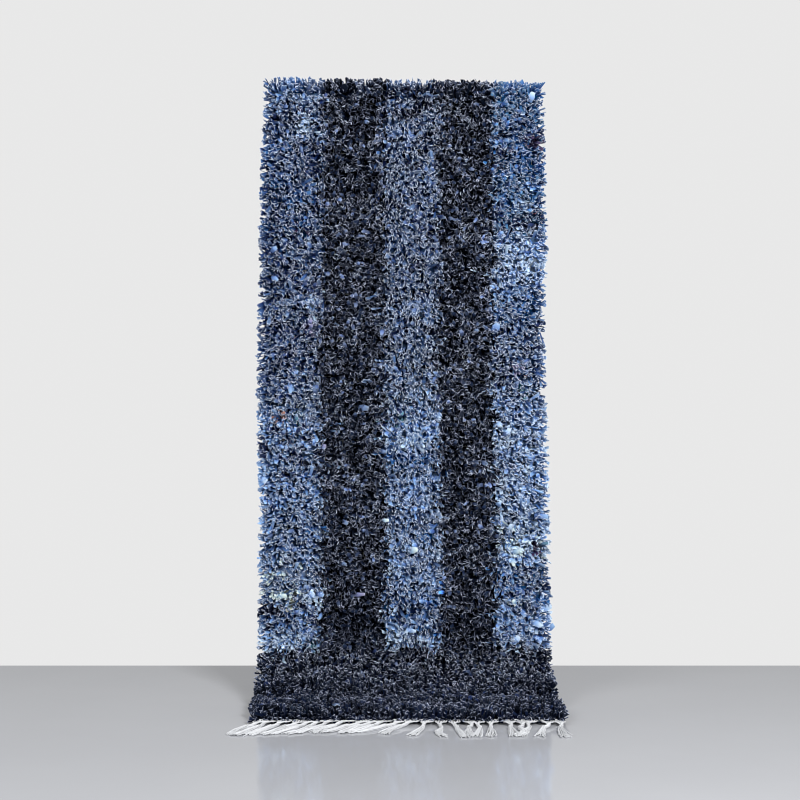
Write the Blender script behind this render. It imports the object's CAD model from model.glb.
"""Boucherouite rug of knotted denim rags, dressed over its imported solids.

Metres, +Z up. The origin is the middle of the woven top edge and the pile faces -Y.
Every tuft is a cut end of rag: a curled strip that stands out of its knot, with a pale frayed tip.
"""

import math

import bmesh
import bpy
import numpy as np
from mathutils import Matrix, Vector, noise


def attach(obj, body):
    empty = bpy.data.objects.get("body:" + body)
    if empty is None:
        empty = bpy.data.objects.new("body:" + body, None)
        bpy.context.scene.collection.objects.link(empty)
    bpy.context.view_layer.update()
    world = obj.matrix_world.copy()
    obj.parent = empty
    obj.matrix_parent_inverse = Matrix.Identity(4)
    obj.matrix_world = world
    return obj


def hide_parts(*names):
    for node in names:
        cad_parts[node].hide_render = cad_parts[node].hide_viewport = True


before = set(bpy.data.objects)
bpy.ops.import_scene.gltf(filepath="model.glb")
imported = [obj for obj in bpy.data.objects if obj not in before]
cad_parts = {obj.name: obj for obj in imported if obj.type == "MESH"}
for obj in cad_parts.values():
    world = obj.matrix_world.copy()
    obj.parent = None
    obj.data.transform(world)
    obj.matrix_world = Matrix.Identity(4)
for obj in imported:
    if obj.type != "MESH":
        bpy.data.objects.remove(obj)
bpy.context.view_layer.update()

ACROSS = np.array([1.0, 0.0, 0.0])
UP = np.array([0.0, 0.0, 1.0])

# Seeds of the random draws
PILE_SEED = 7
STREWN_SEED = 23
FRINGE_SEED = 11

# Seeds of the smooth noises
LIE_SEED = 2.0
COLUMN_SEED = 4.0
RAG_SEED = 6.0
TONE_SEED = 8.0
BAND_SEED = 9.0

# The cloth's path, as its solid has it
RUG_LENGTH = 2.00
HANG_HEIGHT = 1.74
LEAN_TOP = math.radians(1.5)
LEAN_FOOT = math.radians(7.0)
BEND_RADIUS = 0.20
CORNER_DROP = 0.006
FLOOR = -HANG_HEIGHT

# Sides of the pile's dense body: distance down the cloth, left side, right side.
# They are a little fuller than the solid's slab, whose locks reach further out
SIDES = (
    (0.00, -0.390, 0.392),
    (0.25, -0.400, 0.397),
    (0.50, -0.402, 0.398),
    (0.80, -0.407, 0.391),
    (1.00, -0.404, 0.396),
    (1.20, -0.396, 0.400),
    (1.40, -0.397, 0.398),
    (1.60, -0.397, 0.399),
    (1.80, -0.399, 0.405),
    (1.93, -0.398, 0.412),
    (2.00, -0.387, 0.412),
)

# Pile surface
PILE_THICKNESS = 0.032
LUMPS = (  # width and height
    (0.085, 0.012),
    (0.036, 0.012),
)
EDGE_ROUNDING = 0.045
EDGE_THICKNESS = 0.72

# Woven ground
GROUND_INSET = 0.010  # from the pile's sides
GROUND_LOW = 0.0015
GROUND_THICKNESS = 0.003
GROUND_GRID = (12, 80)

# Knots
ROWS = 152
KNOTS = 73
KNOT_INSET = 0.004
KNOT_JITTER = 0.0016
KNOT_STAGGER = 0.2  # of a knot's width, to the right and the left in alternate rows
KNOT_BACK = (0.0003, 0.0030, 0.0024)  # height, half width, half length
KNOT_FRONT = (0.0090, 0.0056, 0.0068)

# Rag ends that stand out of the knots
ENDS = 3
BORDER_ENDS = 6
BORDER = 0.012
END_SPREAD = 0.0032
END_STRAY = (1.6, 1.2)  # across and down the cloth, in spreads
END_TOP = 0.002
END_TONES = 0.16  # how far the ends of one rag stray from each other in brightness
END_RISE = (0.88, 1.16)  # of the pile's height there
ROOT_HEIGHT = 0.004
STRIP_ROOT = (0.0, 0.60, 0.0012)  # share of the length, share of the width, thickness
STRIP_TIP = (1.0, 1.00, 0.0015)
STRIP_CORNERS = ((1.0, 0), (0.36, 1), (-0.36, 1), (-1.0, 0), (-0.36, -1), (0.36, -1))  # half widths, face
STRIP_CURL = 0.42  # most that a strip bows, for its width
ROOT_CURL = 0.3  # of the bow at the tip
CURLED_TWO_WAYS = 0.3  # of the strips: one half bows forward and the other back
STRIP_TWIST = 0.6  # radians, from root to tip
STRIP_SLANT = 0.30  # of the cut edge, for its width
STRIP_DROOP = (0.05, 0.30)
LEAN_SHORTENS = 0.35
STRIP_WIDTH = {"light": (0.0062, 0.0122), "dark": (0.0070, 0.0145), "end_band": (0.0056, 0.0105)}
LIE_SIZE = 0.034  # rag ends lie alike over about this distance
LIE = {  # degrees that their cut edges fall to the right, and how far that wanders
    "light_left": (25.0, 130.0),
    "dark_left": (0.0, 280.0),
    "light_centre": (75.0, 130.0),
    "dark_right": (0.0, 280.0),
    "light_right": (5.0, 130.0),
    "end_band": (0.0, 280.0),
}
LIE_STRAY = 26.0
LEAN = 0.22
LOOSE = 0.16  # of the ends, which lean further
LOOSE_LEAN = 0.75
CLUMP_SIZE = 0.028
CLUMP_PULL = 0.25
CLUMP_CENTRE = (0.15, 0.85)  # shares of its size
CLUMPS = (64, 128)  # across and down, before their centres repeat
EDGE_BAND = 0.030
EDGE_FAN = (0.20, 1.0)  # shares of the most lean
EDGES = (  # left, right, top and foot: least and most reach past the dense body, and most lean
    (0.006, 0.0145, 1.30),
    (0.006, 0.0145, 1.30),
    (0.010, 0.022, 1.80),
    (0.004, 0.026, 1.50),
)
FOOT_BAND = 0.014  # the last rag ends droop over the fringe's heading
FOOT_DROOP = (0.10, 0.95)
FLOOR_GAP = 0.001  # under the lowest rags

# Dark band at the foot, and the shares of the width where the columns change
BAND_START = 1.612
COLUMN_EDGES = (0.210, 0.433, 0.630, 0.822)
COLUMNS = ("light_left", "dark_left", "light_centre", "dark_right", "light_right")
END_BAND = "end_band"
COLUMN_WANDER = 0.010
COLUMN_STRETCH = 0.07  # over which a column's edge wanders
COLUMN_RAGGED = 0.006  # from row to row
BAND_WANDER = 0.010
BAND_STRETCH = 0.06
BAND_RAGGED = 0.004

# Rags by name: linear colour of the dyed face, and how far one rag strays from another in brightness
RAGS = {
    "ink": ((0.006, 0.013, 0.042), 0.30),
    "indigo": ((0.014, 0.036, 0.120), 0.30),
    "royal": ((0.020, 0.118, 0.320), 0.22),
    "cobalt": ((0.066, 0.196, 0.380), 0.22),
    "mid": ((0.036, 0.092, 0.225), 0.25),
    "stone": ((0.095, 0.165, 0.300), 0.25),
    "sky": ((0.180, 0.325, 0.560), 0.20),
    "ice": ((0.460, 0.600, 0.750), 0.12),
    "mint": ((0.600, 0.700, 0.650), 0.10),
    "black": ((0.001, 0.003, 0.008), 0.35),
    "charcoal": ((0.006, 0.011, 0.024), 0.40),
    "slate": ((0.030, 0.045, 0.088), 0.35),
    "navy": ((0.003, 0.008, 0.026), 0.35),
    "rust": ((0.230, 0.080, 0.040), 0.20),
    "crimson": ((0.120, 0.025, 0.055), 0.20),
    "wine": ((0.045, 0.026, 0.070), 0.20),
    "mauve": ((0.200, 0.180, 0.320), 0.20),
    "straw": ((0.600, 0.580, 0.380), 0.20),
    "teal": ((0.020, 0.140, 0.190), 0.20),
}
FRAYED_LESS = {"royal": 0.50, "cobalt": 0.15}  # how much their frayed edges show, where others have 1.0

# What each column is knotted with from a distance down the cloth on: half, three tenths and two tenths of it
RAG_SHARES = (0.5, 0.8)
DARK_CHART = (
    (0.00, "black", "charcoal", "slate"),
    (1.40, "black", "charcoal", "charcoal"),
    (1.48, "black", "black", "charcoal"),
)
KNOTTED_WITH = {
    "light_left": (
        (0.00, "mid", "sky", "indigo"),
        (0.17, "mid", "indigo", "royal"),
        (0.43, "mid", "indigo", "stone"),
        (0.52, "mid", "indigo", "indigo"),
        (0.61, "stone", "mid", "indigo"),
        (0.69, "mid", "indigo", "indigo"),
        (0.87, "stone", "mid", "indigo"),
        (0.95, "sky", "stone", "indigo"),
        (1.21, "stone", "mid", "sky"),
        (1.38, "stone", "sky", "mint"),
        (1.46, "mid", "sky", "ink"),
        (1.55, "sky", "stone", "ice"),
    ),
    "light_centre": (
        (0.00, "mid", "ink", "stone"),
        (0.26, "mid", "stone", "indigo"),
        (0.61, "stone", "mid", "ink"),
        (0.87, "stone", "sky", "indigo"),
        (0.95, "sky", "ice", "royal"),
        (1.03, "royal", "sky", "stone"),
        (1.12, "stone", "sky", "mid"),
        (1.30, "sky", "stone", "mid"),
        (1.46, "royal", "sky", "mid"),
        (1.55, "sky", "stone", "ice"),
    ),
    "light_right": (
        (0.00, "cobalt", "royal", "stone"),
        (0.10, "royal", "royal", "indigo"),
        (0.26, "cobalt", "royal", "sky"),
        (0.34, "mid", "cobalt", "indigo"),
        (0.43, "sky", "stone", "ice"),
        (0.60, "royal", "stone", "indigo"),
        (0.69, "stone", "mid", "indigo"),
        (0.87, "stone", "sky", "mid"),
        (0.95, "sky", "stone", "ice"),
        (1.28, "sky", "ice", "mint"),
        (1.37, "royal", "stone", "indigo"),
        (1.46, "sky", "sky", "mid"),
        (1.55, "sky", "stone", "mid"),
    ),
    "dark_left": DARK_CHART,
    "dark_right": DARK_CHART,
    END_BAND: (
        (0.00, "navy", "charcoal", "slate"),
        (1.74, "navy", "black", "charcoal"),
    ),
}
BAND_BLEND = 0.018  # bands run into each other over this distance
RUN_KNOTS = (2, 10)  # one rag ties 2 to 9 knots of a row
SHARED = 0.62  # of the knots take the rag of the patch around them
SHARED_SIZE = 0.017  # of such a patch down the cloth
SHARED_WIDER = 3.0  # how many times as wide it is
SHARED_LIGHT = 0.40  # how far one patch strays from another in brightness
CHART_CONTRAST = 1.4  # how much further a charted rag strays than a placed one

# Patches of one rag, placed by eye: x, distance down the cloth, half width, half length, rag
PATCHES = (
    (-0.285, 0.120, 0.026, 0.028, "ice"),
    (-0.305, 0.010, 0.016, 0.012, "royal"),
    (-0.260, 0.230, 0.014, 0.050, "indigo"),
    (-0.300, 0.415, 0.014, 0.012, "wine"),
    (-0.264, 0.630, 0.020, 0.020, "ice"),
    (-0.272, 0.692, 0.018, 0.014, "mauve"),
    (-0.298, 0.834, 0.022, 0.011, "sky"),
    (-0.350, 0.950, 0.011, 0.013, "rust"),
    (-0.310, 0.962, 0.015, 0.013, "teal"),
    (-0.296, 0.990, 0.012, 0.010, "royal"),
    (-0.405, 1.164, 0.012, 0.010, "teal"),
    (-0.264, 1.267, 0.016, 0.012, "royal"),
    (-0.238, 1.278, 0.018, 0.009, "ice"),
    (-0.336, 1.336, 0.020, 0.009, "ice"),
    (-0.238, 1.385, 0.012, 0.013, "royal"),
    (-0.345, 1.462, 0.030, 0.012, "mint"),
    (-0.318, 1.482, 0.010, 0.010, "straw"),
    (-0.260, 1.460, 0.038, 0.013, "ice"),
    (-0.375, 1.504, 0.030, 0.015, "ink"),
    (-0.247, 1.522, 0.013, 0.013, "indigo"),
    (-0.355, 1.600, 0.060, 0.013, "ice"),
    (-0.267, 1.597, 0.030, 0.018, "sky"),
    (-0.253, 1.605, 0.011, 0.010, "teal"),
    (-0.009, 0.845, 0.018, 0.020, "royal"),
    (-0.003, 0.960, 0.015, 0.010, "teal"),
    (0.010, 1.032, 0.048, 0.022, "ice"),
    (0.006, 1.082, 0.032, 0.015, "royal"),
    (0.100, 1.109, 0.016, 0.009, "royal"),
    (0.066, 1.281, 0.020, 0.022, "royal"),
    (0.086, 1.333, 0.016, 0.009, "ice"),
    (-0.023, 1.396, 0.016, 0.011, "ice"),
    (-0.010, 1.510, 0.024, 0.018, "indigo"),
    (0.103, 1.442, 0.013, 0.016, "royal"),
    (-0.034, 1.505, 0.010, 0.010, "ice"),
    (-0.020, 1.577, 0.036, 0.009, "ice"),
    (0.324, 0.075, 0.018, 0.009, "royal"),
    (0.390, 0.035, 0.012, 0.018, "royal"),
    (0.373, 0.162, 0.022, 0.013, "wine"),
    (0.284, 0.160, 0.016, 0.011, "royal"),
    (0.264, 0.154, 0.012, 0.015, "sky"),
    (0.342, 0.340, 0.028, 0.017, "ice"),
    (0.364, 0.366, 0.006, 0.006, "crimson"),
    (0.293, 0.506, 0.022, 0.017, "ice"),
    (0.362, 0.512, 0.038, 0.024, "ice"),
    (0.310, 0.562, 0.030, 0.016, "sky"),
    (0.370, 0.616, 0.030, 0.018, "royal"),
    (0.318, 0.816, 0.016, 0.011, "mauve"),
    (0.350, 0.840, 0.010, 0.009, "rust"),
    (0.339, 0.874, 0.014, 0.010, "teal"),
    (0.316, 0.951, 0.012, 0.019, "royal"),
    (0.408, 1.150, 0.010, 0.010, "teal"),
    (0.397, 1.187, 0.009, 0.009, "rust"),
    (0.393, 1.287, 0.018, 0.010, "sky"),
    (0.345, 1.310, 0.009, 0.009, "ice"),
    (0.370, 1.316, 0.009, 0.009, "wine"),
    (0.316, 1.336, 0.024, 0.015, "mint"),
    (0.316, 1.455, 0.014, 0.010, "indigo"),
    (0.304, 1.479, 0.024, 0.010, "mint"),
    (0.396, 1.497, 0.020, 0.014, "ice"),
    (0.370, 1.540, 0.020, 0.010, "ice"),
    (0.284, 1.548, 0.011, 0.011, "indigo"),
    (0.313, 1.589, 0.014, 0.011, "ice"),
    (0.408, 1.603, 0.013, 0.011, "sky"),
)

# Broad rags flopped over the pile, placed by eye: x, distance down the cloth, length, width, degrees that
# they fall to the right, rag
FLOPPED = (
    (-0.324, 0.874, 0.040, 0.014, 85.0, "sky"),
    (-0.400, 1.138, 0.028, 0.022, 30.0, "ice"),
    (-0.370, 0.564, 0.024, 0.016, 40.0, "sky"),
    (-0.372, 0.483, 0.022, 0.016, -30.0, "sky"),
    (-0.345, 1.465, 0.030, 0.015, -10.0, "mint"),
    (-0.260, 1.462, 0.024, 0.018, -40.0, "ice"),
    (-0.235, 1.458, 0.024, 0.016, 30.0, "sky"),
    (-0.230, 1.044, 0.020, 0.016, 0.0, "mauve"),
    (-0.175, 0.016, 0.030, 0.024, -40.0, "black"),
    (-0.110, 0.110, 0.022, 0.012, 15.0, "stone"),
    (-0.115, 0.934, 0.030, 0.018, 10.0, "stone"),
    (-0.129, 1.460, 0.040, 0.012, -3.0, "mauve"),
    (-0.172, 1.373, 0.022, 0.012, 20.0, "stone"),
    (-0.115, 1.568, 0.018, 0.014, -20.0, "slate"),
    (-0.166, 1.258, 0.020, 0.013, 35.0, "stone"),
    (-0.060, 1.058, 0.022, 0.012, 10.0, "stone"),
    (-0.055, 1.253, 0.026, 0.012, -5.0, "mint"),
    (0.024, 1.336, 0.030, 0.020, -10.0, "mint"),
    (0.020, 1.560, 0.028, 0.012, 5.0, "ice"),
    (0.100, 0.093, 0.018, 0.014, -60.0, "stone"),
    (0.146, 0.260, 0.026, 0.012, -15.0, "black"),
    (0.204, 0.713, 0.018, 0.012, -30.0, "stone"),
    (0.227, 1.089, 0.022, 0.014, 30.0, "stone"),
    (0.367, 0.030, 0.028, 0.020, -70.0, "ice"),
    (0.262, 0.702, 0.028, 0.024, -60.0, "sky"),
    (0.267, 0.977, 0.026, 0.018, 30.0, "ice"),
    (0.293, 1.003, 0.026, 0.016, -60.0, "ice"),
    (0.267, 1.204, 0.022, 0.016, -60.0, "ice"),
    (0.388, 1.238, 0.038, 0.018, 10.0, "sky"),
    (0.316, 1.334, 0.038, 0.022, 10.0, "mint"),
    (0.307, 1.366, 0.026, 0.014, 82.0, "mint"),
    (0.396, 1.497, 0.036, 0.022, -20.0, "ice"),
    (0.370, 1.540, 0.032, 0.017, 25.0, "ice"),
    (0.408, 1.551, 0.028, 0.020, -30.0, "sky"),
    (0.333, 1.511, 0.022, 0.014, 60.0, "sky"),
    (0.313, 1.589, 0.026, 0.018, -45.0, "ice"),
    (-0.178, 1.940, 0.044, 0.022, 80.0, "stone"),
    (-0.396, 1.020, 0.030, 0.012, 172.0, "ink"),
    (-0.397, 1.046, 0.028, 0.012, 186.0, "ink"),
    (-0.394, 1.072, 0.030, 0.013, 190.0, "ink"),
    (0.386, 0.177, 0.032, 0.014, 25.0, "wine"),
    (0.386, 0.756, 0.032, 0.012, -8.0, "ink"),
    (0.394, 1.316, 0.030, 0.010, 0.0, "teal"),
)
FLOPPED_STEPS = (  # share of the length, of the pile's height and of the width
    (0.0, 0.60, 0.60),
    (0.5, 1.08, 1.00),
    (1.0, 1.08, 0.60),
)
FLOPPED_BOW = 0.16  # for their width
FLOPPED_FRAY = 0.5  # how much their frayed edges show
# Smaller ones over each column: how many, and how much paler than the knots below them
STREWN = {"light": (130, 1.15), "dark": (340, 3.8), "end_band": (150, 2.4)}
STREWN_LENGTH = (0.010, 0.020)
STREWN_WIDTH = (0.007, 0.013)

# Fringe
HEADING_DEPTH = 0.012
HEADING_LIFT = 0.0090  # of the warps above the floor, where they leave the weave
CLOTH_GAP = 0.0003
TASSELS = 24
ROOT_REACH = 0.058
KNOT_RADIUS = 0.0052
COTTON_TONES = 0.09
THREADS = 28
THREAD_STEPS = 9
THREAD_REACH = (0.070, 0.094)
THREAD_RADIUS = 0.0014
THREAD_TAPER = (1.1, 0.75)
THREAD_STRAY = 0.04
THREAD_TURNS = (0.30, 0.14)  # radians from knot to tip: a whole brush, and each thread in it
THREAD_SWINGS = (0.20, 0.06)  # radians from side to side
THREAD_TRUE = 0.2  # share of its length where a thread lies in the brush's direction
THREAD_LOW = 0.0010
THREAD_WAVE = (0.0006, 9.0, 20.0)  # height, and radians along a thread and up through the brush
BRUSH_OPENS = (0.75, 1.45)
BRUSH_REACH = (0.90, 1.04)
BRUSH_NECK = 0.0035  # half its width at the knot
BRUSH_HEIGHT = 0.0085
BRUSH_FALLS = (0.0045, 0.3)  # from knot to tip: in metres, and as a share
WARPS = 10  # they leave the weave in pairs
WARP_RADIUS = 0.0013
WARP_STEPS = 15
WARP_START = -0.10  # a first step, back in the weave
WARPS_GATHER = (0.20, 0.56)  # shares of the way to the knot
WARPS_FALL = (0.26, 0.85)
CORD_RADIUS = 0.0036  # of the ring of warps in a tassel's cord
CORD_TURNS = 1.1
CORD_BEND = 0.0060
WEFTS = 3
WEFT_RADIUS = 0.0008
WEFT_PITCH = 0.0024
WEFT_INSET = 0.003
WRAP_STEPS = 23
WRAP_TURNS = 2.3
WRAP_SWELL = 0.74  # of the knot's radius
WRAP_LENGTH = 0.0085
WRAP_RADIUS = 0.0015
CORE = ((-1.35, 0.30), (-0.8, 0.62), (0.0, 0.78), (0.8, 0.66), (1.35, 0.45))  # place, radius, in knot radii
CORE_HEIGHT = 0.9
CORE_CORNERS = 8

# Lie of the fringe: tassel from the left, degrees its brush sweeps to the right, degrees it opens
TASSEL_LIE = (
    (0, -30.0, 5.0),
    (3, -34.0, 4.5),
    (7, -44.0, 4.0),
    (11, -46.0, 4.0),
    (12, -42.0, 5.0),
    (13, -16.0, 7.0),
    (14, -2.0, 7.0),
    (15, 4.0, 6.5),
    (17, -4.0, 6.5),
    (18, -10.0, 6.5),
    (19, 5.0, 6.5),
    (21, -12.0, 6.5),
    (22, -10.0, 6.5),
    (23, -1.0, 8.0),
)


def ease_table(table, keys):
    """The columns of a table at these keys, eased from one row to the next."""
    rows = np.array(table)
    low = np.clip(np.searchsorted(rows[:, 0], keys, side="right") - 1, 0, len(rows) - 2)
    share = np.clip((keys - rows[low, 0]) / (rows[low + 1, 0] - rows[low, 0]), 0.0, 1.0)
    share = (share * share * (3.0 - 2.0 * share))[..., None]
    return rows[low, 1:] * (1.0 - share) + rows[low + 1, 1:] * share


def hung_length():
    height = HANG_HEIGHT - BEND_RADIUS * (1.0 - math.sin(LEAN_FOOT))
    return height * (LEAN_FOOT - LEAN_TOP) / (math.sin(LEAN_FOOT) - math.sin(LEAN_TOP))


def section(distance):
    """y, z and lean from plumb of the woven side at these distances down the cloth."""
    hung = hung_length()
    radius = hung / (LEAN_FOOT - LEAN_TOP)
    bent = BEND_RADIUS * (math.pi / 2 - LEAN_FOOT)
    upper = LEAN_TOP + np.minimum(distance, hung) / radius
    lower = LEAN_FOOT + np.clip(distance - hung, 0.0, bent) / BEND_RADIUS
    y = -radius * (math.cos(LEAN_TOP) - np.cos(upper))
    z = -radius * (np.sin(upper) - math.sin(LEAN_TOP))
    y = y - BEND_RADIUS * (math.cos(LEAN_FOOT) - np.cos(lower)) - np.maximum(0.0, distance - hung - bent)
    z = z - BEND_RADIUS * (np.sin(lower) - math.sin(LEAN_FOOT))
    return y, z, np.where(distance < hung, upper, lower)


def axes_at(distance):
    """Unit vectors at these distances: out of the pile, and down the cloth."""
    lean = section(distance)[2]
    zero = np.zeros_like(lean)
    out = np.stack([zero, -np.cos(lean), np.sin(lean)], -1)
    down = np.stack([zero, -np.sin(lean), -np.cos(lean)], -1)
    return out, down


def on_rug(distance, x, height):
    """Points this far down the cloth, at x and this high above the woven side."""
    y, z, lean = section(distance)
    left, right = ease_table(SIDES, distance).T
    share = (x - left) / (right - left)
    upright = np.maximum(0.0, 1.0 - distance / hung_length())
    z = z - CORNER_DROP * (2.0 * share - 1.0) * upright
    return np.stack([x, y - height * np.cos(lean), z + height * np.sin(lean)], -1)


def field(x, distance, size, seed=0.0):
    """Smooth noise, about -1 to 1, over the cloth."""
    places = np.stack([x / size, distance / size], -1)
    return np.array([noise.noise(Vector((a, b, seed))) for a, b in places])


def insets(x, distance):
    """How far places on the cloth are in from its left, right, top and bottom edges."""
    left, right = ease_table(SIDES, distance).T
    return np.stack([x - left, right - x, distance, RUG_LENGTH - distance])


def pile_height(x, distance):
    left = ease_table(SIDES, distance).T[0]
    tall = PILE_THICKNESS + sum(height * field(x - left, distance, size) for size, height in LUMPS)
    inward = np.clip(insets(x, distance).min(0) / EDGE_ROUNDING, 0.0, 1.0)
    return tall * (EDGE_THICKNESS + (1.0 - EDGE_THICKNESS) * np.sin(inward * math.pi / 2))


def unit(vectors):
    return vectors / np.maximum(np.linalg.norm(vectors, axis=-1, keepdims=True), 1e-9)


def add_piece(name, mesh, material, node):
    """Makes the piece's object, rides it on the rug and lets it stand for its solid."""
    piece = bpy.data.objects.new(name, mesh)
    bpy.context.scene.collection.objects.link(piece)
    mesh.materials.append(material)
    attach(piece, "root")
    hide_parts(node)
    return piece


# Layout of a strip's cell in the bake map: corner and size of its side, and of its two ends above that
CELL_SIDE = np.array([(0.03, 0.03), (0.94, 0.80)])
CELL_TIP = np.array([0.05, 0.86])
CELL_ROOT = np.array([0.55, 0.86])
CELL_END = np.array([0.40, 0.12])


def strip_loops(steps, corners):
    """Loops of a closed strip: vertices, places in its own map, and places in its cell of the bake map."""
    ring, corner = np.divmod(np.arange((steps - 1) * corners), corners)
    loop_ring = np.stack([ring, ring, ring + 1, ring + 1], -1).ravel()
    loop_turn = np.stack([corner, corner + 1, corner + 1, corner], -1).ravel()
    turn, along = loop_turn / corners, loop_ring / (steps - 1)
    cap = np.arange(corners)
    angle = 2.0 * np.pi * cap / corners
    disc = 0.5 + 0.5 * np.stack([np.cos(angle), np.sin(angle)], -1)
    tip, root = cap + (steps - 1) * corners, cap[::-1]
    vertices = np.concatenate([loop_ring * corners + loop_turn % corners, tip, root])
    own = np.concatenate([
        np.stack([turn * 2.0, along], -1),
        np.stack([disc[:, 0], np.ones(corners)], -1),
        np.stack([disc[::-1, 0], np.zeros(corners)], -1),
    ])
    cell = np.concatenate([
        CELL_SIDE[0] + CELL_SIDE[1] * np.stack([turn, along], -1),
        CELL_TIP + CELL_END * disc,
        CELL_ROOT + CELL_END * disc[::-1],
    ])
    return vertices, own, cell


def loft(name, rings, colours, sharp_angle=50.0):
    """A mesh of closed strips, from rings of points, (strips, rings, corners, 3), and one RGBA for each."""
    strips, steps, corners = rings.shape[:3]
    vertices, own, cell = strip_loops(steps, corners)
    sizes = np.tile([4] * ((steps - 1) * corners) + [corners, corners], strips)
    points = steps * corners
    loops = (vertices[None, :] + points * np.arange(strips)[:, None]).ravel()
    mesh = bpy.data.meshes.new(name)
    mesh.vertices.add(strips * points)
    mesh.vertices.foreach_set("co", rings.reshape(-1).astype(np.float32))
    mesh.loops.add(len(loops))
    mesh.loops.foreach_set("vertex_index", loops.astype(np.int32))
    mesh.polygons.add(len(sizes))
    mesh.polygons.foreach_set("loop_start", (np.cumsum(sizes) - sizes).astype(np.int32))
    mesh.polygons.foreach_set("loop_total", sizes.astype(np.int32))
    mesh.update(calc_edges=True)
    wide = math.ceil(math.sqrt(2.0 * strips))
    tall = math.ceil(strips / wide)
    corner = np.stack([np.arange(strips) % wide, np.arange(strips) // wide], -1)
    cells = (corner[:, None, :] + cell[None]) / np.array([wide, tall])
    mesh.uv_layers.new(name="strip").uv.foreach_set("vector", np.tile(own, (strips, 1)).ravel())
    mesh.uv_layers.new(name="OFBake").uv.foreach_set("vector", cells.ravel())
    rag = mesh.color_attributes.new(name="rag", type="FLOAT_COLOR", domain="POINT")
    rag.data.foreach_set("color", np.repeat(colours, points, axis=0).astype(np.float32).ravel())
    mesh.shade_smooth()
    mesh.set_sharp_from_angle(angle=math.radians(sharp_angle))
    return mesh


def knot_places(chance):
    """x, distance and row of every knot, with alternate rows staggered."""
    row, knot = np.divmod(np.arange(ROWS * KNOTS), KNOTS)
    distance = (row + 0.5) * RUG_LENGTH / ROWS + chance.uniform(-KNOT_JITTER, KNOT_JITTER, row.size)
    left, right = ease_table(SIDES, distance).T
    step = (right - left - 2 * KNOT_INSET) / KNOTS
    x = left + KNOT_INSET + (knot + 0.5 + np.where(row % 2, KNOT_STAGGER, -KNOT_STAGGER)) * step
    return x + chance.uniform(-KNOT_JITTER, KNOT_JITTER, row.size), distance, row


def runs(count, chance):
    """One number from 0 to 1 for each knot, alike along the stretch of a row that one rag ties."""
    values = np.empty(count)
    at = 0
    while at < count:
        length = int(chance.integers(*RUN_KNOTS))
        values[at:at + length] = chance.random()
        at += length
    return values


def columns_of(x, distance, row, chance):
    """Name of the column or band that each knot belongs to."""
    left, right = ease_table(SIDES, distance).T
    share = (x - left) / (right - left)
    ragged = chance.normal(0.0, COLUMN_RAGGED, ROWS)[row]
    nearest = np.round(share * len(COLUMNS))
    wander = COLUMN_WANDER * field(nearest, distance, COLUMN_STRETCH, COLUMN_SEED)
    column = np.searchsorted(COLUMN_EDGES, share + ragged + wander)
    names = np.array(COLUMNS)[column]
    start = BAND_START + BAND_WANDER * field(x, np.zeros(x.size), BAND_STRETCH, BAND_SEED)
    start += chance.normal(0.0, BAND_RAGGED, x.size)
    return np.where(distance > start, END_BAND, names)


def patches(x, distance, seed):
    """One number from 0 to 1 for each knot, alike over broad low patches."""
    here = field(x / SHARED_WIDER, distance, SHARED_SIZE, seed)
    return here.argsort().argsort() / here.size


def rag_colours(names, x, distance, chance):
    """RGBA of each knot's rag, alike along a stretch of its row and over patches.

    Alpha is how much its frayed edges show.
    """
    pick = np.where(runs(x.size, chance) < SHARED, patches(x, distance, RAG_SEED), runs(x.size, chance))
    shared = SHARED_LIGHT * (2.0 * patches(x, distance, TONE_SEED) - 1.0)
    tone = np.clip(runs(x.size, chance) + shared, 0.0, 1.0)
    colours = np.empty((names.size, 4))
    seen_at = distance + chance.normal(0.0, BAND_BLEND, names.size)
    for name, chart in KNOTTED_WITH.items():
        starts = [band[0] for band in chart]
        for knot in np.flatnonzero(names == name):
            band = chart[max(0, np.searchsorted(starts, seen_at[knot], side="right") - 1)]
            rag = band[1 + np.searchsorted(RAG_SHARES, pick[knot], side="right")]
            colour, strays = RAGS[rag]
            light = math.exp(strays * (2.0 * tone[knot] - 1.0) * CHART_CONTRAST)
            colours[knot] = (*np.array(colour) * light, FRAYED_LESS.get(rag, 1.0))
    for centre_x, centre_distance, half_width, half_length, rag in PATCHES:
        inside = np.hypot((x - centre_x) / half_width, (distance - centre_distance) / half_length) < 1.0
        colour, strays = RAGS[rag]
        light = np.exp(strays * (2.0 * tone[inside] - 1.0))
        colours[inside, :3] = np.array(colour) * light[:, None]
    return colours


def end_leans(x, distance, rise, chance):
    """How far each end leans to the right and down the cloth, for each unit that it stands out."""
    count = x.size
    loose = np.where(chance.random(count) < LOOSE, LOOSE_LEAN, LEAN)
    lean_x = chance.normal(0.0, loose)
    lean_down = chance.normal(0.0, loose)
    cell = np.stack([np.floor(x / CLUMP_SIZE), np.floor(distance / CLUMP_SIZE)], -1).astype(int)
    centres = chance.uniform(*CLUMP_CENTRE, (*CLUMPS, 2))[cell[:, 0] % CLUMPS[0], cell[:, 1] % CLUMPS[1]]
    pull = ((cell + centres) * CLUMP_SIZE - np.stack([x, distance], -1)) * CLUMP_PULL / PILE_THICKNESS
    lean_x += pull[:, 0]
    lean_down += pull[:, 1]
    inset = insets(x, distance)
    close = np.clip(1.0 - inset / EDGE_BAND, 0.0, 1.0)
    least, furthest, lean = np.array(EDGES).T[:, :, None]
    fan = chance.uniform(*EDGE_FAN, (4, count)) * close * lean
    lean_x += fan[1] - fan[0]
    lean_down += fan[3] - fan[2]
    most = (inset + chance.uniform(least, furthest, (4, count))) / rise
    return np.clip(lean_x, -most[0], most[1]), np.clip(lean_down, -most[2], most[3])


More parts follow.
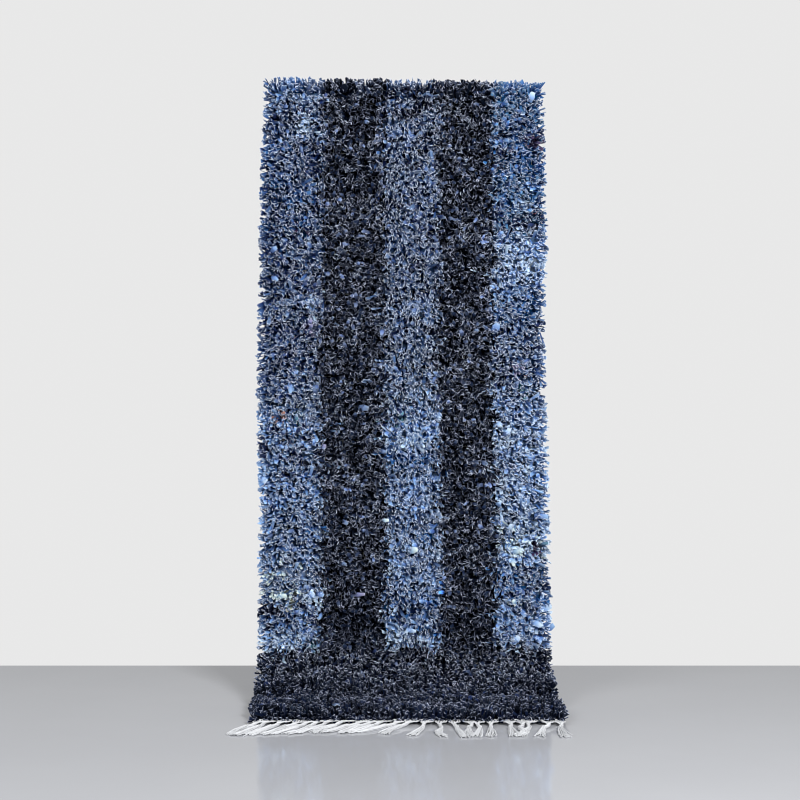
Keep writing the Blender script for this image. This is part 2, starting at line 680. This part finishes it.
def cut_edge_lies(names, x, distance, chance):
    """Radians that each cut edge falls to the right: its column's own way, wandering with its place."""
    fall, wander = np.array([LIE[name] for name in names]).T
    falls = fall + wander * field(x, distance, LIE_SIZE, LIE_SEED)
    return np.radians(falls + chance.normal(0.0, LIE_STRAY, x.size))


def rag_ends(x, distance, widths, lie, chance):
    """Rings, (ends, rings, corners, 3), of rag ends that stand at these places."""
    count = x.size
    out, down = axes_at(distance)
    rise = pile_height(x, distance) * chance.uniform(*END_RISE, count)
    lean_x, lean_down = end_leans(x, distance, rise, chance)
    lean_down += out[:, 1] ** 2 * chance.uniform(*STRIP_DROOP, count)
    stands = 1.0 / np.sqrt(1.0 + LEAN_SHORTENS * (lean_x ** 2 + lean_down ** 2))
    at_foot = insets(x, distance)[3] < FOOT_BAND
    stands *= np.where(at_foot, chance.uniform(*FOOT_DROOP, count), 1.0)
    way = out * stands[:, None] + ACROSS * lean_x[:, None] + down * lean_down[:, None]
    tangent = unit(way)
    twist = chance.uniform(-STRIP_TWIST, STRIP_TWIST, count)
    curl = chance.uniform(-STRIP_CURL, STRIP_CURL, count)
    curls = (curl, curl * np.where(chance.random(count) < CURLED_TWO_WAYS, -1.0, 1.0))
    slant = chance.uniform(-STRIP_SLANT, STRIP_SLANT, count)
    root = on_rug(distance, x, np.full(count, ROOT_HEIGHT))
    rings = np.empty((count, 2, len(STRIP_CORNERS), 3))
    for ring, (time, broad, thickness) in enumerate((STRIP_ROOT, STRIP_TIP)):
        middle = root + way * (rise * time)[:, None]
        turned = lie + twist * time
        wide = ACROSS * np.cos(turned)[:, None] + down * np.sin(turned)[:, None]
        wide = unit(wide - tangent * (wide * tangent).sum(-1, keepdims=True))
        normal = np.cross(tangent, wide)
        for corner, (place, face) in enumerate(STRIP_CORNERS):
            bow = curls[int(place > 0)] * widths * (ROOT_CURL + (1.0 - ROOT_CURL) * time) * (face != 0)
            sideways = wide * (widths / 2 * broad * place)[:, None]
            cut = tangent * (slant * widths * place * time)[:, None]
            rings[:, ring, corner] = middle + sideways + cut + normal * (bow + face * thickness / 2)[:, None]
    rings[..., 2] = np.maximum(rings[..., 2], FLOOR + FLOOR_GAP)
    return rings


def build_pile(material):
    """One piece of pile for each column and one for the band at the foot."""
    chance = np.random.default_rng(PILE_SEED)
    x, distance, row = knot_places(chance)
    names = columns_of(x, distance, row, chance)
    colours = rag_colours(names, x, distance, chance)
    at_border = insets(x, distance).min(0) < BORDER
    knot = np.repeat(np.arange(x.size), np.where(at_border, BORDER_ENDS, ENDS))
    stray_x, stray_down = END_STRAY
    end_x = x[knot] + chance.uniform(-stray_x, stray_x, knot.size) * END_SPREAD
    end_distance = distance[knot] + chance.uniform(-stray_down, stray_down, knot.size) * END_SPREAD
    end_distance = np.clip(end_distance, END_TOP, RUG_LENGTH)
    widths = np.empty(knot.size)
    for kind, limits in STRIP_WIDTH.items():
        alike = np.char.startswith(names, kind)[knot]
        widths[alike] = chance.uniform(*limits, alike.sum())
    lie = cut_edge_lies(names[knot], end_x, end_distance, chance)
    rings = rag_ends(end_x, end_distance, widths, lie, chance)
    ends = colours[knot]
    ends[:, :3] *= np.exp(chance.normal(0.0, END_TONES, (knot.size, 1)))
    ends[:, 3] *= chance.random(knot.size)
    pieces = []
    for name in (*COLUMNS, END_BAND):
        chosen = names[knot] == name
        mesh = loft(f"pile_{name}", rings[chosen], ends[chosen])
        pieces.append(add_piece(f"pile_{name}", mesh, material, "rug"))
    return pieces, (x, distance, names, colours)


def strewn_rags(x, distance, names, colours, chance):
    """Places, sizes and falls of the small rags over each column, and RGBA after the knots they lie on."""
    inside = insets(x, distance).min(0) > BORDER
    rows, dyes = [], []
    for name in (*COLUMNS, END_BAND):
        count, paler = next(STREWN[kind] for kind in STREWN if name.startswith(kind))
        knot = chance.choice(np.flatnonzero((names == name) & inside), count, replace=False)
        lengths, widths = chance.uniform(*STREWN_LENGTH, count), chance.uniform(*STREWN_WIDTH, count)
        falls = chance.uniform(-180.0, 180.0, count)
        rows.append(np.stack([x[knot], distance[knot], lengths, widths, falls], -1))
        dyes.append(colours[knot] * (paler, paler, paler, FLOPPED_FRAY))
    return np.concatenate(rows), np.concatenate(dyes)


def build_flopped(material, strewn, dyes):
    """The rags that lie over the pile: each rises out of it at one end and bows across its width."""
    placed = np.array([row[:5] for row in FLOPPED])
    colours = np.concatenate([[(*RAGS[row[5]][0], FLOPPED_FRAY) for row in FLOPPED], dyes])
    x, distance, length, width, fall = np.concatenate([placed, strewn]).T
    out, down = axes_at(distance)
    turn = np.radians(fall)[:, None]
    along = ACROSS * np.cos(turn) + down * np.sin(turn)
    wide = down * np.cos(turn) - ACROSS * np.sin(turn)
    tall = pile_height(x, distance)
    rings = np.empty((x.size, len(FLOPPED_STEPS), len(STRIP_CORNERS), 3))
    for ring, (time, share, broad) in enumerate(FLOPPED_STEPS):
        middle = on_rug(distance, x, tall * share) + along * (length * (time - 0.5))[:, None]
        for corner, (place, face) in enumerate(STRIP_CORNERS):
            height = width * FLOPPED_BOW * (face != 0) - face * STRIP_TIP[2] / 2
            sideways = wide * (width / 2 * broad * place)[:, None]
            rings[:, ring, corner] = middle + sideways + out * height[:, None]
    rings[..., 2] = np.maximum(rings[..., 2], FLOOR + FLOOR_GAP)
    mesh = loft("pile_flopped", rings, colours)
    return add_piece("pile_flopped", mesh, material, "rug")


def build_knots(material, x, distance, colours):
    """The knots: each goes through the ground, a small nub of rag behind and a wider wrap in front."""
    down = axes_at(distance)[1]
    rings = np.empty((x.size, 2, 4, 3))
    for ring, (height, half_wide, half_long) in enumerate((KNOT_BACK, KNOT_FRONT)):
        centre = on_rug(distance, x, np.full(x.size, height))
        for corner, (a, b) in enumerate(((1, 1), (1, -1), (-1, -1), (-1, 1))):
            rings[:, ring, corner] = centre + ACROSS * a * half_wide + down * b * half_long
    rings[..., 2] = np.maximum(rings[..., 2], FLOOR)
    mesh = loft("knots", rings, colours, sharp_angle=30.0)
    return add_piece("knots", mesh, material, "rug")


def build_ground(material):
    """The woven ground: a closed sheet of cotton warp and weft, along the cloth's path."""
    grid = bmesh.new()
    bmesh.ops.create_grid(grid, x_segments=GROUND_GRID[0], y_segments=GROUND_GRID[1], size=0.5)
    for vert in grid.verts:
        distance = np.array([(0.5 - vert.co.y) * (RUG_LENGTH - GROUND_INSET) + GROUND_INSET / 2])
        left, right = ease_table(SIDES, distance)[0]
        x = left + GROUND_INSET + (vert.co.x + 0.5) * (right - left - 2 * GROUND_INSET)
        vert.co = on_rug(distance, np.array([x]), np.array([GROUND_LOW]))[0]
    bmesh.ops.recalc_face_normals(grid, faces=grid.faces[:])
    mesh = bpy.data.meshes.new("ground_cloth")
    grid.to_mesh(mesh)
    grid.free()
    ground = add_piece("ground_cloth", mesh, material, "rug")
    shell = ground.modifiers.new("thickness", "SOLIDIFY")
    shell.thickness = GROUND_THICKNESS
    shell.offset = 1.0 if mesh.polygons[0].normal.y < 0 else -1.0
    return ground


def tubes(paths, radius, corners, reference=UP):
    """Rings of cords along paths, (cords, steps, 3), none of which runs along the reference."""
    tangent = unit(np.gradient(paths, axis=1))
    side = unit(np.cross(tangent, reference))
    up = np.cross(tangent, side)
    turn = 2.0 * np.pi * np.arange(corners) / corners
    ring = side[:, :, None] * np.cos(turn)[:, None] + up[:, :, None] * np.sin(turn)[:, None]
    return paths[:, :, None] + np.broadcast_to(radius, paths.shape[:2])[:, :, None, None] * ring


def ahead(sweep):
    """Level directions this far, in radians, to the right of straight ahead."""
    return np.stack([np.sin(sweep), -np.cos(sweep), np.zeros_like(sweep)], -1)


def tones(count, chance):
    """RGBA for each of a number of cotton cords: white, a little darker or lighter."""
    grey = np.exp(chance.normal(0.0, COTTON_TONES, count))
    return np.stack([grey, grey, grey, chance.random(count)], -1)


def tassel_frames():
    """Roots, knots and lie of the tassels."""
    tassel = np.arange(TASSELS)
    sweep, opening = np.radians(ease_table(TASSEL_LIE, tassel)).T
    left, right = SIDES[-1][1:]
    back = section(np.array([RUG_LENGTH]))[0][0] - CLOTH_GAP
    root = np.stack([
        left + (right - left) * (tassel + 0.5) / TASSELS,
        np.full(TASSELS, back - HEADING_DEPTH / 2),
        np.full(TASSELS, FLOOR),
    ], -1)
    return root, root + ahead(sweep) * ROOT_REACH, sweep, opening


def thread_paths(knot, sweep, opening, chance):
    """Loose warp threads of the brushes, lying on the floor."""
    tassel = np.repeat(np.arange(TASSELS), THREADS)
    count = tassel.size
    share = chance.uniform(-1.0, 1.0, count)
    opens = opening * chance.uniform(*BRUSH_OPENS, TASSELS)
    start = sweep[tassel] + opens[tassel] * share + chance.normal(0.0, THREAD_STRAY, count)
    turning, swing = (
        chance.normal(0.0, brush, TASSELS)[tassel] + chance.normal(0.0, thread, count)
        for brush, thread in (THREAD_TURNS, THREAD_SWINGS)
    )
    time = np.linspace(0.0, 1.0, THREAD_STEPS)
    turned = turning[:, None] * (time - THREAD_TRUE)
    angles = start[:, None] + turned + swing[:, None] * np.sin(time * math.tau)
    length = chance.uniform(*THREAD_REACH, count) * chance.uniform(*BRUSH_REACH, TASSELS)[tassel]
    moves = ahead(angles[:, :-1]) * (length / (THREAD_STEPS - 1))[:, None, None]
    paths = np.concatenate([np.zeros((count, 1, 3)), np.cumsum(moves, axis=1)], axis=1)
    beside = ahead(sweep + math.pi / 2)[tassel]
    paths += knot[tassel][:, None] + beside[:, None] * (share * BRUSH_NECK)[:, None, None]
    stack = chance.uniform(0.0, 1.0, count)[:, None]
    drop, thinning = BRUSH_FALLS
    height = THREAD_LOW + stack * (BRUSH_HEIGHT - drop * time) * (1.0 - thinning * time)
    wave, along, upward = THREAD_WAVE
    paths[..., 2] = FLOOR + height + wave * np.abs(np.sin(along * time + upward * stack))
    return paths


def eased(time, start, end):
    """0 before start, 1 after end and smooth between."""
    share = np.clip((time - start) / (end - start), 0.0, 1.0)
    return share * share * (3.0 - 2.0 * share)


def warp_paths(root, knot, sweep, chance):
    """Warp ends that leave the weave side by side, gather, and twist into one cord up to each knot."""
    pitch = (SIDES[-1][2] - SIDES[-1][1]) / TASSELS / WARPS
    time = np.concatenate([[WARP_START], np.linspace(0.0, 1.0, WARP_STEPS)])
    gathered = eased(time, *WARPS_GATHER)[:, None]
    over = ahead(sweep + math.pi / 2)[:, None]
    line = root[:, None] + (knot - root)[:, None] * np.maximum(time, 0.0)[:, None]
    line[..., 1] += HEADING_DEPTH * (time < 0.0)
    bend = chance.normal(0.0, CORD_BEND, TASSELS)[:, None, None]
    line += over * bend * np.sin(np.maximum(time, 0.0) * math.pi)[:, None]
    lying = CORD_RADIUS + WARP_RADIUS
    line[..., 2] += lying + (HEADING_LIFT - lying) * (1.0 - eased(time, *WARPS_FALL))
    paths = []
    for warp in range(WARPS):
        pair = (warp // 2 * 2 + 1 - WARPS / 2) * pitch
        beside = ACROSS * (pair + (warp % 2 * 2 - 1) * WARP_RADIUS)
        angle = (2.0 * math.pi * (warp / WARPS + CORD_TURNS * time))[:, None]
        twisted = over * np.cos(angle) + UP * np.sin(angle)
        paths.append(line + beside * (1.0 - gathered) + twisted * CORD_RADIUS * gathered)
    return np.concatenate(paths)


def weft_paths(root):
    """Weft cords of the heading, passing over and under the warps."""
    left, right = SIDES[-1][1:]
    crossings = TASSELS * WARPS
    x = np.linspace(left + WEFT_INSET, right - WEFT_INSET, crossings * 2 + 1)
    wave = np.sin((x - left) / (right - left) * crossings * math.pi)
    paths = []
    for weft in range(WEFTS):
        y = root[0, 1] + HEADING_DEPTH - weft * WEFT_PITCH
        height = FLOOR + HEADING_LIFT + WARP_RADIUS * wave * (-1) ** weft
        paths.append(np.stack([x, np.full(x.size, y), height], -1))
    return np.stack(paths)


def wrap_paths(knot, sweep):
    """The turns of each tassel's knot."""
    time = np.linspace(0.0, 1.0, WRAP_STEPS)
    angle = time * 2.0 * math.pi * WRAP_TURNS
    along = ahead(sweep)
    over = ahead(sweep + math.pi / 2)
    swell = KNOT_RADIUS * WRAP_SWELL
    middle = knot + UP * KNOT_RADIUS
    return (middle[:, None] + along[:, None] * ((time - 0.5) * WRAP_LENGTH)[:, None]
            + over[:, None] * (swell * np.cos(angle))[:, None]
            + UP * (swell * np.sin(angle))[:, None])


def core_rings(knot, sweep):
    """The bundle inside each knot."""
    along, over = ahead(sweep), ahead(sweep + math.pi / 2)
    turn = 2.0 * np.pi * np.arange(CORE_CORNERS) / CORE_CORNERS
    rings = np.empty((len(knot), len(CORE), CORE_CORNERS, 3))
    for ring, (place, radius) in enumerate(CORE):
        middle = knot + along * place * KNOT_RADIUS + UP * (KNOT_RADIUS * CORE_HEIGHT)
        circle = -over[:, None] * np.cos(turn)[:, None] + UP * np.sin(turn)[:, None]
        rings[:, ring] = middle[:, None] + radius * KNOT_RADIUS * circle
    return rings


def build_fringe(material):
    """Warp ends, their heading, roots, knots and brushes."""
    chance = np.random.default_rng(FRINGE_SEED)
    root, knot, sweep, opening = tassel_frames()
    threads = thread_paths(knot, sweep, opening, chance)
    taper = THREAD_RADIUS * np.linspace(*THREAD_TAPER, THREAD_STEPS)
    parts = {
        "fringe_brushes": tubes(threads, taper, corners=4),
        "fringe_warps": tubes(warp_paths(root, knot, sweep, chance), WARP_RADIUS, corners=4),
        "fringe_wefts": tubes(weft_paths(root), WEFT_RADIUS, corners=4),
        "fringe_cores": core_rings(knot, sweep),
    }
    parts["fringe_knots"] = np.concatenate([
        tubes(path[None], WRAP_RADIUS, corners=5, reference=along)
        for path, along in zip(wrap_paths(knot, sweep), ahead(sweep))
    ])
    for name, rings in parts.items():
        rings[..., 2] = np.maximum(rings[..., 2], FLOOR)
        mesh = loft(name, rings, tones(len(rings), chance), sharp_angle=80.0)
        add_piece(name, mesh, material, "fringe")


def value(tree, kind, **inputs):
    """A new node with these values or links in its sockets, by name or, after an underscore, by number."""
    node = tree.nodes.new(kind)
    for key, item in inputs.items():
        if hasattr(node, key) and key not in node.inputs:
            setattr(node, key, item)
            continue
        socket = node.inputs[int(key[1:])] if key.startswith("_") else node.inputs[key]
        if isinstance(item, bpy.types.NodeSocket):
            tree.links.new(item, socket)
        else:
            socket.default_value = item
    return node


def maths(tree, operation, first, second=0.0, third=0.0):
    return value(tree, "ShaderNodeMath", operation=operation, _0=first, _1=second, _2=third).outputs[0]


def mixed(tree, share, first, second, blend="MIX"):
    sockets = {"_0": share, "_6": first, "_7": second}
    return value(tree, "ShaderNodeMix", data_type="RGBA", blend_type=blend, **sockets).outputs[2]


def scaled(tree, colour, factor):
    node = value(tree, "ShaderNodeVectorMath", operation="SCALE", _0=colour)
    tree.links.new(factor, node.inputs["Scale"])
    return node.outputs[0]


def ramp(tree, socket, low, high):
    """0 below low, 1 above high and smooth between."""
    node = value(tree, "ShaderNodeMapRange", interpolation_type="SMOOTHSTEP", Value=socket)
    node.inputs["From Min"].default_value = low
    node.inputs["From Max"].default_value = high
    return node.outputs["Result"]


# Linear colours of the materials
WHITE = (1.0, 1.0, 1.0, 1.0)
BLEACHED = (0.68, 0.76, 0.91)  # frayed edges of pale rags
GREYED = ((0.12, 0.138, 0.205, 1.0), (0.36, 0.395, 0.52, 1.0))  # and of black and dark ones
DEEP_TINT = (0.36, 0.53, 0.84, 1.0)
GROUND_COTTON = (0.62, 0.60, 0.56)
WARP_COTTON = (0.67, 0.685, 0.71)
FLOOR_PAINT = ((0.46, 0.47, 0.50, 1.0), (0.50, 0.51, 0.54, 1.0))


def speckle(tree, scale, detail=2.0):
    """Noise about 0.5 over the object."""
    place = value(tree, "ShaderNodeTexCoord").outputs["Object"]
    return value(tree, "ShaderNodeTexNoise", Vector=place, Scale=scale, Detail=detail).outputs["Fac"]


def raise_by(tree, shader, height, strength, distance):
    bump = value(tree, "ShaderNodeBump", Strength=strength, Distance=distance, Height=height)
    tree.links.new(bump.outputs["Normal"], shader.inputs["Normal"])


def new_material(name, specular, roughness=0.9, sheen=0.0):
    material = bpy.data.materials.new(name)
    material.use_nodes = True
    shader = material.node_tree.nodes["Principled BSDF"]
    shader.inputs["Roughness"].default_value = roughness
    shader.inputs["Sheen Weight"].default_value = sheen
    shader.inputs["Sheen Roughness"].default_value = 0.6
    shader.inputs["Specular IOR Level"].default_value = specular
    return material, material.node_tree, shader


def rag_material():
    """Denim rag: dyed face with twill and wear, paler reverse, and pale frayed cut edges."""
    material, tree, shader = new_material("denim_rag", specular=0.03)
    attribute = value(tree, "ShaderNodeAttribute", attribute_name="rag")
    rag, fraying = attribute.outputs["Color"], attribute.outputs["Alpha"]
    strip = value(tree, "ShaderNodeUVMap", uv_map="strip").outputs["UV"]
    parts = value(tree, "ShaderNodeSeparateXYZ", Vector=strip)
    u, v = parts.outputs["X"], parts.outputs["Y"]
    across = maths(tree, "FRACT", maths(tree, "MULTIPLY", u, 0.9999))
    edge = maths(tree, "MULTIPLY", maths(tree, "ABSOLUTE", maths(tree, "SUBTRACT", across, 0.5)), 2.0)
    reverse = maths(tree, "GREATER_THAN", u, 1.0)
    threads = speckle(tree, scale=900.0)
    mottle = speckle(tree, scale=160.0)
    ribs_across = maths(tree, "MULTIPLY", across, 10.0)
    ribs_along = maths(tree, "MULTIPLY", v, 34.0)
    slant = maths(tree, "MULTIPLY", maths(tree, "ADD", ribs_across, ribs_along), math.tau)
    twill = maths(tree, "MULTIPLY_ADD", maths(tree, "SINE", slant), 0.5, 0.5)

    light = value(tree, "ShaderNodeRGBToBW", Color=rag).outputs[0]
    undyed = ramp(tree, light, 0.0, 0.10)
    greyed = mixed(tree, ramp(tree, light, 0.001, 0.012), *GREYED)
    few = maths(tree, "MULTIPLY", fraying, fraying)
    greyed = scaled(tree, greyed, maths(tree, "MULTIPLY_ADD", few, 2.2, 0.20))
    bleached = scaled(tree, BLEACHED, maths(tree, "MULTIPLY_ADD", fraying, 0.80, 0.57))
    pale = mixed(tree, 0.22, mixed(tree, undyed, greyed, bleached), rag)

    depth = mixed(tree, ramp(tree, v, 0.35, 0.95), DEEP_TINT, WHITE)
    dyed = mixed(tree, 1.0, rag, depth, "MULTIPLY")
    faded = maths(tree, "MULTIPLY_ADD", undyed, 0.12, 0.03)
    worn = maths(tree, "MULTIPLY", twill, maths(tree, "MULTIPLY", mottle, faded))
    face = mixed(tree, worn, dyed, pale)
    back = mixed(tree, faded, dyed, pale)
    cloth = mixed(tree, reverse, face, back)
    tip = ramp(tree, maths(tree, "MULTIPLY_ADD", threads, 0.16, v), 1.03, 1.09)
    side = ramp(tree, maths(tree, "MULTIPLY_ADD", threads, 0.30, edge), 1.03, 1.17)
    side = maths(tree, "MULTIPLY", side, ramp(tree, v, 0.5, 0.95))
    fray = maths(tree, "MAXIMUM", tip, maths(tree, "MULTIPLY", side, 0.8))
    tree.links.new(mixed(tree, fray, cloth, pale), shader.inputs["Base Color"])

    height = maths(tree, "MULTIPLY_ADD", threads, 0.6, maths(tree, "MULTIPLY", twill, 0.4))
    raise_by(tree, shader, height, strength=0.5, distance=0.0006)
    rough = maths(tree, "MULTIPLY_ADD", mottle, 0.15, 0.80)
    tree.links.new(rough, shader.inputs["Roughness"])
    return material


def knot_material():
    """The same rags where they are knotted: full colour behind, deep in shade in front."""
    material, tree, shader = new_material("denim_knot", specular=0.03)
    rag = value(tree, "ShaderNodeAttribute", attribute_name="rag").outputs["Color"]
    strip = value(tree, "ShaderNodeUVMap", uv_map="strip").outputs["UV"]
    along = value(tree, "ShaderNodeSeparateXYZ", Vector=strip).outputs["Y"]
    threads = speckle(tree, scale=700.0)
    lift = maths(tree, "MULTIPLY_ADD", ramp(tree, along, 0.15, 0.9), -1.0, 1.3)
    tint = maths(tree, "MULTIPLY", lift, maths(tree, "MULTIPLY_ADD", threads, 0.7, 0.6))
    tree.links.new(scaled(tree, rag, tint), shader.inputs["Base Color"])
    raise_by(tree, shader, threads, strength=0.6, distance=0.0006)
    return material


def cotton_material(name, colour, threads_scale, toned=False):
    """Spun cotton, a little uneven in colour and along its plies."""
    material, tree, shader = new_material(name, specular=0.2, sheen=0.2)
    mottle = speckle(tree, scale=60.0, detail=3.0)
    fibres = speckle(tree, threads_scale)
    shade = maths(tree, "MULTIPLY_ADD", mottle, 0.5, maths(tree, "MULTIPLY", fibres, 0.5))
    dark = tuple(0.78 * c for c in colour)
    cloth = mixed(tree, shade, (*dark, 1.0), (*colour, 1.0))
    if toned:
        rag = value(tree, "ShaderNodeAttribute", attribute_name="rag").outputs["Color"]
        cloth = mixed(tree, 1.0, cloth, rag, "MULTIPLY")
    tree.links.new(cloth, shader.inputs["Base Color"])
    raise_by(tree, shader, fibres, strength=0.6, distance=0.0005)
    tree.links.new(maths(tree, "MULTIPLY_ADD", mottle, 0.15, 0.78), shader.inputs["Roughness"])
    return material


FLOOR_BACK = 0.34
FLOOR_FRONT = -6.0
FLOOR_HALF_WIDTH = 4.0


def build_floor():
    """A plain pale floor that ends just behind the rug."""
    plane = bmesh.new()
    bmesh.ops.create_grid(plane, x_segments=1, y_segments=1, size=1.0)
    for vert in plane.verts:
        y = FLOOR_BACK if vert.co.y > 0 else FLOOR_FRONT
        vert.co = (vert.co.x * FLOOR_HALF_WIDTH, y, FLOOR - 0.0002)
    mesh = bpy.data.meshes.new("floor")
    plane.to_mesh(mesh)
    plane.free()
    floor = bpy.data.objects.new("floor", mesh)
    bpy.context.scene.collection.objects.link(floor)
    material, tree, shader = new_material("floor_paint", specular=0.9, roughness=0.09)
    cloud = speckle(tree, scale=3.0, detail=3.0)
    tree.links.new(mixed(tree, cloud, *FLOOR_PAINT), shader.inputs["Base Color"])
    mesh.materials.append(material)


def build_surround(seen, lit):
    """A pale surround: one grey that the camera sees, and another that lights the scene."""
    world = bpy.data.worlds.new("studio")
    world.use_nodes = True
    tree = world.node_tree
    camera_ray = tree.nodes.new("ShaderNodeLightPath").outputs["Is Camera Ray"]
    strength = maths(tree, "MULTIPLY_ADD", camera_ray, seen - lit, lit)
    background = tree.nodes["Background"]
    background.inputs["Color"].default_value = WHITE
    tree.links.new(strength, background.inputs["Strength"])
    bpy.context.scene.world = world
    bpy.context.scene.view_settings.view_transform = "Standard"


def add_light(name, place, aim, size, power):
    light = bpy.data.lights.new(name, "AREA")
    light.size = size
    light.energy = power
    lamp = bpy.data.objects.new(name, light)
    bpy.context.scene.collection.objects.link(lamp)
    lamp.location = place
    lamp.rotation_euler = (Vector(aim) - Vector(place)).to_track_quat("-Z", "Y").to_euler()


# The photograph's view: a level camera a little left of the rug's middle
CAMERA_HEIGHT = 0.83
CAMERA_DISTANCE = 4.04  # to the pile at the held edge
CAMERA_X = -0.011
CAMERA_SHIFT = 0.0014


def add_camera():
    camera = bpy.data.objects.new("camera", bpy.data.cameras.new("camera"))
    bpy.context.scene.collection.objects.link(camera)
    camera.data.lens = 63.24
    camera.data.sensor_width = 36.0
    camera.data.shift_y = CAMERA_SHIFT
    camera.location = (CAMERA_X, -PILE_THICKNESS - CAMERA_DISTANCE, FLOOR + CAMERA_HEIGHT)
    camera.rotation_euler = (math.pi / 2, 0.0, 0.0)
    bpy.context.scene.camera = camera


def main():
    rag = rag_material()
    pieces, (x, distance, names, colours) = build_pile(rag)
    strewn, dyes = strewn_rags(x, distance, names, colours, np.random.default_rng(STREWN_SEED))
    pieces.append(build_flopped(rag, strewn, dyes))
    pieces.append(build_knots(knot_material(), x, distance, colours))
    ground = build_ground(cotton_material("ground_cotton", GROUND_COTTON, threads_scale=700.0))
    build_fringe(cotton_material("cotton_warp", WARP_COTTON, threads_scale=1200.0, toned=True))
    build_floor()
    build_surround(seen=0.81, lit=0.42)
    add_light("key", (1.7, -3.8, 0.7), aim=(0.0, -0.1, -0.9), size=1.2, power=200.0)
    add_light("fill", (-2.6, -2.6, 0.9), aim=(-0.5, -0.2, -1.5), size=2.0, power=60.0)
    add_camera()
    bpy.context.scene.cycles.filter_width = 1.0


main()
